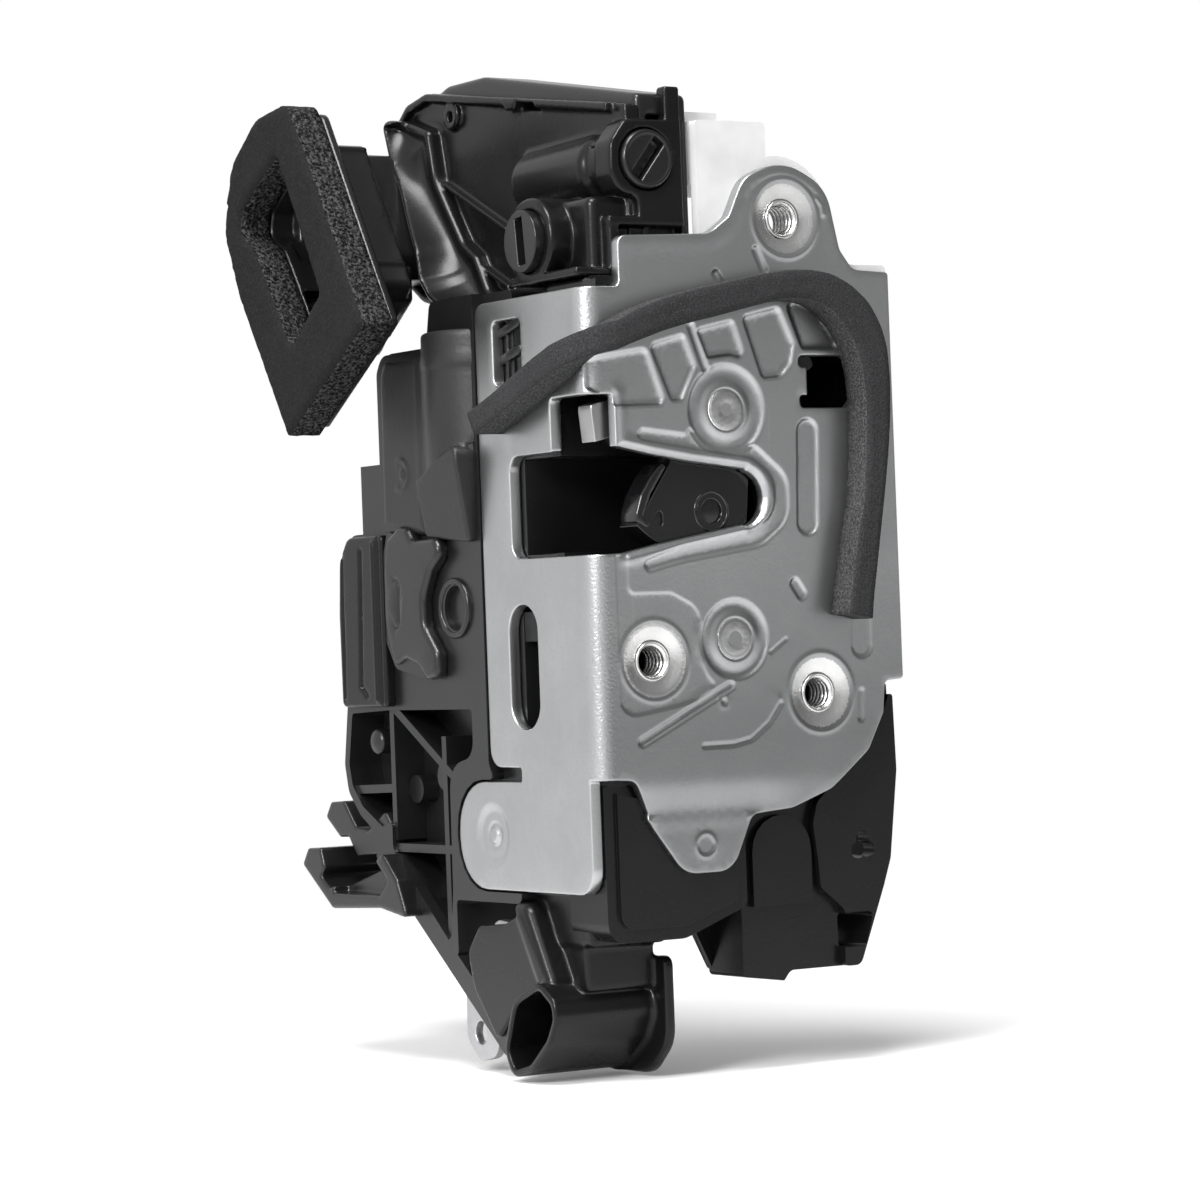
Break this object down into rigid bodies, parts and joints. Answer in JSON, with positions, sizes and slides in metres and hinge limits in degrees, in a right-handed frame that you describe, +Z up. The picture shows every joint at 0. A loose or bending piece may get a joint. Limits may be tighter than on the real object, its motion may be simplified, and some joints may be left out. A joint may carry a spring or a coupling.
{
  "type": "car door lock",
  "caption": "Rotary door latch: bent steel plate with fork bolt and pawl, L-shaped lock actuator housing, key funnel with foam ring, cable duct and release levers.",
  "frame": {"origin": "axis of the latched striker on the latch plate's outer face", "axes": "+Z up; -Y is the latch plate's outward normal; -X is the side the striker comes from and the side flange faces"},
  "size_m": [0.0953, 0.1219, 0.208],
  "materials": {
    "black_foam": "soft foam",
    "black_plastic": "fine-textured black moulding",
    "brass": "tinned strip",
    "bright_steel": "turned or stamped steel",
    "galvanised_steel": "zinc-plated pressed steel, satin",
    "gear_plastic": "natural moulding",
    "gloss_plastic": "smooth black moulding",
    "grey_foam": "soft foam",
    "lever_steel": "stamped steel, dull",
    "rubber": "moulded rubber",
    "white_plastic": "off-white moulding"
  },
  "bodies": {
    "latch": {"latch_plate": "galvanised_steel", "latch_case": "black_plastic", "striker_pocket": "black_plastic", "back_plate": "galvanised_steel", "fork_bolt_pin": "galvanised_steel", "fork_bolt_spring": "bright_steel", "fork_stop_buffer": "rubber", "pawl_pin": "galvanised_steel", "pawl_spring": "bright_steel", "release_lever_pin": "bright_steel", "latch_case_cap": "white_plastic", "seal_strip": "grey_foam", "actuator_housing": "black_plastic", "actuator_cover": "black_plastic", "side_cover": "black_plastic", "upper_case": "black_plastic", "upper_cover": "black_plastic", "key_funnel": "black_plastic", "key_gasket": "black_foam", "lock_motor": "bright_steel", "lead_frame": "brass", "connector_pins": "brass", "latch_switch": "black_plastic", "cable_duct": "black_plastic", "cable_clip": "black_plastic", "inside_lever_pin": "bright_steel", "outside_lever_pin": "bright_steel", "lower_guard": "black_plastic", "cover_screws": "bright_steel"},
    "fork": {"fork_bolt": "bright_steel", "fork_bolt_overmould": "gloss_plastic"},
    "pawl": {"pawl": "bright_steel"},
    "release_lever": {"release_lever": "lever_steel"},
    "emergency_lock": {"emergency_lock_rotor": "black_plastic"},
    "setting_knob": {"setting_knob": "black_plastic"},
    "key_follower": {"key_follower": "black_plastic"},
    "worm": {"motor_worm": "gear_plastic"},
    "wheel": {"worm_wheel": "gear_plastic"},
    "slide": {"lock_slide": "gear_plastic"},
    "inside_lever": {"inside_release_lever": "lever_steel"},
    "outside_lever": {"outside_handle_lever": "lever_steel"}
  },
  "joints": [
    {"name": "fork_close", "type": "hinge", "parent": "latch", "child": "fork", "pos_m": [-0.0039, 0.0064, 0.0178], "axis": [0, -1, 0], "range_deg": [0, 78], "stiffness_Nm_per_rad": 0.25, "springref_deg": -20.05},
    {"name": "release_pull", "type": "hinge", "parent": "latch", "child": "release_lever", "pos_m": [0.005, 0.0198, -0.05], "axis": [0, 1, 0], "range_deg": [0, 6], "stiffness_Nm_per_rad": 0.3, "springref_deg": -17.19},
    {"name": "pawl_lift", "type": "hinge", "parent": "latch", "child": "pawl", "pos_m": [-0.0038, 0.0064, -0.028], "axis": [0, 1, 0], "range_deg": [0, 12.5]},
    {"name": "emergency_lock_turn", "type": "hinge", "parent": "latch", "child": "emergency_lock", "pos_m": [-0.0188, 0.008, 0.0678], "axis": [0, 1, 0], "range_deg": [0, 90]},
    {"name": "setting_knob_turn", "type": "hinge", "parent": "latch", "child": "setting_knob", "pos_m": [-0.03, 0.021, 0.0529], "axis": [1, 0, 0], "range_deg": [0, 90]},
    {"name": "key_turn", "type": "hinge", "parent": "latch", "child": "key_follower", "pos_m": [-0.03, 0.0955, 0.064], "axis": [1, 0, 0], "range_deg": [-75, 75], "stiffness_Nm_per_rad": 0.02},
    {"name": "wheel_turn", "type": "hinge", "parent": "latch", "child": "wheel", "pos_m": [-0.029, 0.0705, -0.02], "axis": [-1, 0, 0], "range_deg": [0, 100]},
    {"name": "worm_spin", "type": "hinge", "parent": "latch", "child": "worm", "pos_m": [-0.029, 0.053, -0.02], "axis": [0, 0, -1], "range_deg": [0, 2810]},
    {"name": "lock_travel", "type": "slide", "parent": "latch", "child": "slide", "axis": [0, 0, -1], "range_m": [0, 0.0104]},
    {"name": "inside_lever_pull", "type": "hinge", "parent": "latch", "child": "inside_lever", "pos_m": [-0.033, 0.042, -0.0885], "axis": [-1, 0, 0], "range_deg": [0, 20], "stiffness_Nm_per_rad": 0.1, "springref_deg": -11.46},
    {"name": "outside_lever_pull", "type": "hinge", "parent": "latch", "child": "outside_lever", "pos_m": [0.0065, 0.0217, -0.071], "axis": [0, 1, 0], "range_deg": [0, 12], "stiffness_Nm_per_rad": 0.1, "springref_deg": -11.46}
  ],
  "couplings": [
    {"joint": "pawl_lift", "follows": "release_pull", "ratio": 2},
    {"joint": "worm_spin", "follows": "lock_travel", "rad_per_m": 4666.7},
    {"joint": "wheel_turn", "follows": "lock_travel", "rad_per_m": 166.67}
  ]
}
